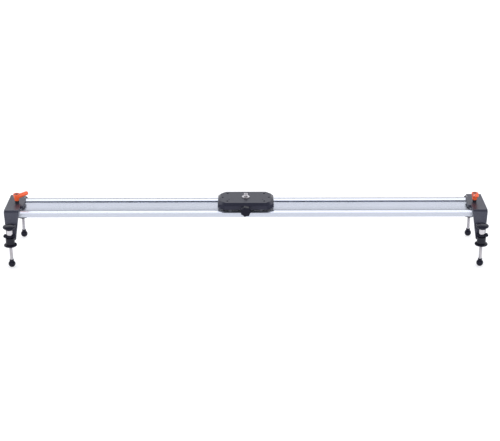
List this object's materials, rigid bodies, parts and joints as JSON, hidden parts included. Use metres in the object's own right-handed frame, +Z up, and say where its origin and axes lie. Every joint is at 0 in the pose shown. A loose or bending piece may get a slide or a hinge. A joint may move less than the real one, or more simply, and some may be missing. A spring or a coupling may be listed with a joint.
{
  "type": "camera slider",
  "caption": "Long aluminium dovetail rail on bent end brackets with screw feet, and a low roller carriage with a camera screw and side lock knob.",
  "frame": {"origin": "on the floor plane, under the middle of the rail", "axes": "+X along the rail to the right-hand bracket, +Y away from the lock knob, +Z up"},
  "size_m": [1.2, 0.223, 0.1651],
  "materials": {
    "rail": "satin anodised",
    "cap": "moulded",
    "insert": "plain",
    "bracket": "satin black",
    "clamp": "plain",
    "black_steel": "black oxide",
    "orange": "semi gloss",
    "spring": "drawn wire",
    "block": "satin black",
    "knob": "gloss black",
    "steel": "bright",
    "carriage": "black anodised",
    "keeper": "low friction plastic",
    "bearing": "ground",
    "nylon": "plain"
  },
  "bodies": {
    "rail": {"rail_extrusion": "rail", "rail_end_caps": "cap", "tripod_insert": "insert"},
    "carriage": {"carriage_plate": "carriage", "keeper_strips": "keeper", "keeper_screws": "black_steel", "roller_axles": "steel", "camera_screw": "steel", "screw_flange": "steel", "brake_shoe": "nylon"},
    "lock": {"lock_knob": "knob", "lock_stud": "steel"},
    "bracket_left": {"bracket_left": "bracket", "clamp_bar_left": "clamp", "block_bolts_left": "black_steel", "foot_block_front_left": "block", "foot_block_rear_left": "block"},
    "lever_left": {"lever_insert_left": "black_steel", "lever_spring_left": "spring", "lever_cap_screw_left": "black_steel"},
    "handle_left": {"lever_handle_left": "orange"},
    "bracket_right": {"bracket_right": "bracket", "clamp_bar_right": "clamp", "block_bolts_right": "black_steel", "foot_block_front_right": "block", "foot_block_rear_right": "block"},
    "lever_right": {"lever_insert_right": "black_steel", "lever_spring_right": "spring", "lever_cap_screw_right": "black_steel"},
    "handle_right": {"lever_handle_right": "orange"},
    "foot_front_left": {"ball_foot_front_left": "knob"},
    "spindle_front_left": {"foot_rod_front_left": "steel", "foot_knob_front_left": "knob", "foot_nut_front_left": "steel"},
    "wing_front_left": {"wing_nut_front_left": "knob"},
    "disc_front_left": {"lock_disc_front_left": "knob"},
    "roller_front_left": {"roller_front_left": "bearing"},
    "foot_front_right": {"ball_foot_front_right": "knob"},
    "spindle_front_right": {"foot_rod_front_right": "steel", "foot_knob_front_right": "knob", "foot_nut_front_right": "steel"},
    "wing_front_right": {"wing_nut_front_right": "knob"},
    "disc_front_right": {"lock_disc_front_right": "knob"},
    "roller_front_right": {"roller_front_right": "bearing"},
    "foot_rear_left": {"ball_foot_rear_left": "knob"},
    "spindle_rear_left": {"foot_rod_rear_left": "steel", "foot_knob_rear_left": "knob", "foot_nut_rear_left": "steel"},
    "wing_rear_left": {"wing_nut_rear_left": "knob"},
    "disc_rear_left": {"lock_disc_rear_left": "knob"},
    "roller_rear_left": {"roller_rear_left": "bearing"},
    "foot_rear_right": {"ball_foot_rear_right": "knob"},
    "spindle_rear_right": {"foot_rod_rear_right": "steel", "foot_knob_rear_right": "knob", "foot_nut_rear_right": "steel"},
    "wing_rear_right": {"wing_nut_rear_right": "knob"},
    "disc_rear_right": {"lock_disc_rear_right": "knob"},
    "roller_rear_right": {"roller_rear_right": "bearing"}
  },
  "joints": [
    {"name": "carriage_slide", "type": "slide", "parent": "rail", "child": "carriage", "axis": [1, 0, 0], "range_m": [-0.484, 0.484]},
    {"name": "lock_turn", "type": "hinge", "parent": "carriage", "child": "lock", "pos_m": [0, -0.045, 0.1355], "axis": [0, 1, 0], "range_deg": [-180, 180]},
    {"name": "bracket_slide_left", "type": "slide", "parent": "rail", "child": "bracket_left", "axis": [-1, 0, 0], "range_m": [0, 0.05]},
    {"name": "lever_turn_left", "type": "hinge", "parent": "bracket_left", "child": "lever_left", "pos_m": [-0.576, 0, 0.134], "axis": [0, 0, 1], "range_deg": [-60, 60]},
    {"name": "lever_lift_left", "type": "slide", "parent": "lever_left", "child": "handle_left", "axis": [0, 0, 1], "range_m": [0, 0.0045], "stiffness_N_per_m": 500, "springref_m": -0.004, "deforming": ["lever_spring_left"]},
    {"name": "bracket_slide_right", "type": "slide", "parent": "rail", "child": "bracket_right", "axis": [1, 0, 0], "range_m": [0, 0.05]},
    {"name": "lever_turn_right", "type": "hinge", "parent": "bracket_right", "child": "lever_right", "pos_m": [0.576, 0, 0.134], "axis": [0, 0, 1], "range_deg": [-60, 60]},
    {"name": "lever_lift_right", "type": "slide", "parent": "lever_right", "child": "handle_right", "axis": [0, 0, 1], "range_m": [0, 0.0045], "stiffness_N_per_m": 500, "springref_m": -0.004, "deforming": ["lever_spring_right"]},
    {"name": "foot_height_front_left", "type": "slide", "parent": "bracket_left", "child": "foot_front_left", "axis": [0, 0, 1], "range_m": [0, 0.035]},
    {"name": "spindle_turn_front_left", "type": "hinge", "parent": "foot_front_left", "child": "spindle_front_left", "pos_m": [-0.58175, -0.09554, 0.06], "axis": [0, 0, 1], "range_deg": [-5, 10090]},
    {"name": "wing_turn_front_left", "type": "hinge", "parent": "bracket_left", "child": "wing_front_left", "pos_m": [-0.58175, -0.09554, 0.08], "axis": [0, 0, 1], "range_deg": [-90, 90]},
    {"name": "disc_turn_front_left", "type": "hinge", "parent": "bracket_left", "child": "disc_front_left", "pos_m": [-0.58175, -0.09554, 0.059], "axis": [0, 0, 1], "range_deg": [-180, 180]},
    {"name": "roller_spin_front_left", "type": "hinge", "parent": "carriage", "child": "roller_front_left", "pos_m": [-0.038, -0.0395, 0.1338], "axis": [0, 1, 0], "range_deg": [-4275, 4275]},
    {"name": "foot_height_front_right", "type": "slide", "parent": "bracket_right", "child": "foot_front_right", "axis": [0, 0, 1], "range_m": [0, 0.035]},
    {"name": "spindle_turn_front_right", "type": "hinge", "parent": "foot_front_right", "child": "spindle_front_right", "pos_m": [0.58175, -0.09554, 0.06], "axis": [0, 0, 1], "range_deg": [-5, 10090]},
    {"name": "wing_turn_front_right", "type": "hinge", "parent": "bracket_right", "child": "wing_front_right", "pos_m": [0.58175, -0.09554, 0.08], "axis": [0, 0, 1], "range_deg": [-90, 90]},
    {"name": "disc_turn_front_right", "type": "hinge", "parent": "bracket_right", "child": "disc_front_right", "pos_m": [0.58175, -0.09554, 0.059], "axis": [0, 0, 1], "range_deg": [-180, 180]},
    {"name": "roller_spin_front_right", "type": "hinge", "parent": "carriage", "child": "roller_front_right", "pos_m": [0.038, -0.0395, 0.1338], "axis": [0, 1, 0], "range_deg": [-4275, 4275]},
    {"name": "foot_height_rear_left", "type": "slide", "parent": "bracket_left", "child": "foot_rear_left", "axis": [0, 0, 1], "range_m": [0, 0.035]},
    {"name": "spindle_turn_rear_left", "type": "hinge", "parent": "foot_rear_left", "child": "spindle_rear_left", "pos_m": [-0.58175, 0.09554, 0.06], "axis": [0, 0, 1], "range_deg": [-5, 10090]},
    {"name": "wing_turn_rear_left", "type": "hinge", "parent": "bracket_left", "child": "wing_rear_left", "pos_m": [-0.58175, 0.09554, 0.08], "axis": [0, 0, 1], "range_deg": [-90, 90]},
    {"name": "disc_turn_rear_left", "type": "hinge", "parent": "bracket_left", "child": "disc_rear_left", "pos_m": [-0.58175, 0.09554, 0.059], "axis": [0, 0, 1], "range_deg": [-180, 180]},
    {"name": "roller_spin_rear_left", "type": "hinge", "parent": "carriage", "child": "roller_rear_left", "pos_m": [-0.038, 0.0395, 0.1338], "axis": [0, 1, 0], "range_deg": [-4275, 4275]},
    {"name": "foot_height_rear_right", "type": "slide", "parent": "bracket_right", "child": "foot_rear_right", "axis": [0, 0, 1], "range_m": [0, 0.035]},
    {"name": "spindle_turn_rear_right", "type": "hinge", "parent": "foot_rear_right", "child": "spindle_rear_right", "pos_m": [0.58175, 0.09554, 0.06], "axis": [0, 0, 1], "range_deg": [-5, 10090]},
    {"name": "wing_turn_rear_right", "type": "hinge", "parent": "bracket_right", "child": "wing_rear_right", "pos_m": [0.58175, 0.09554, 0.08], "axis": [0, 0, 1], "range_deg": [-90, 90]},
    {"name": "disc_turn_rear_right", "type": "hinge", "parent": "bracket_right", "child": "disc_rear_right", "pos_m": [0.58175, 0.09554, 0.059], "axis": [0, 0, 1], "range_deg": [-180, 180]},
    {"name": "roller_spin_rear_right", "type": "hinge", "parent": "carriage", "child": "roller_rear_right", "pos_m": [0.038, 0.0395, 0.1338], "axis": [0, 1, 0], "range_deg": [-4275, 4275]}
  ],
  "couplings": [
    {"joint": "spindle_turn_front_left", "follows": "foot_height_front_left", "rad_per_m": 5026.5},
    {"joint": "roller_spin_front_left", "follows": "carriage_slide", "rad_per_m": 153.85},
    {"joint": "spindle_turn_front_right", "follows": "foot_height_front_right", "rad_per_m": 5026.5},
    {"joint": "roller_spin_front_right", "follows": "carriage_slide", "rad_per_m": 153.85},
    {"joint": "spindle_turn_rear_left", "follows": "foot_height_rear_left", "rad_per_m": 5026.5},
    {"joint": "roller_spin_rear_left", "follows": "carriage_slide", "rad_per_m": 153.85},
    {"joint": "spindle_turn_rear_right", "follows": "foot_height_rear_right", "rad_per_m": 5026.5},
    {"joint": "roller_spin_rear_right", "follows": "carriage_slide", "rad_per_m": 153.85}
  ]
}
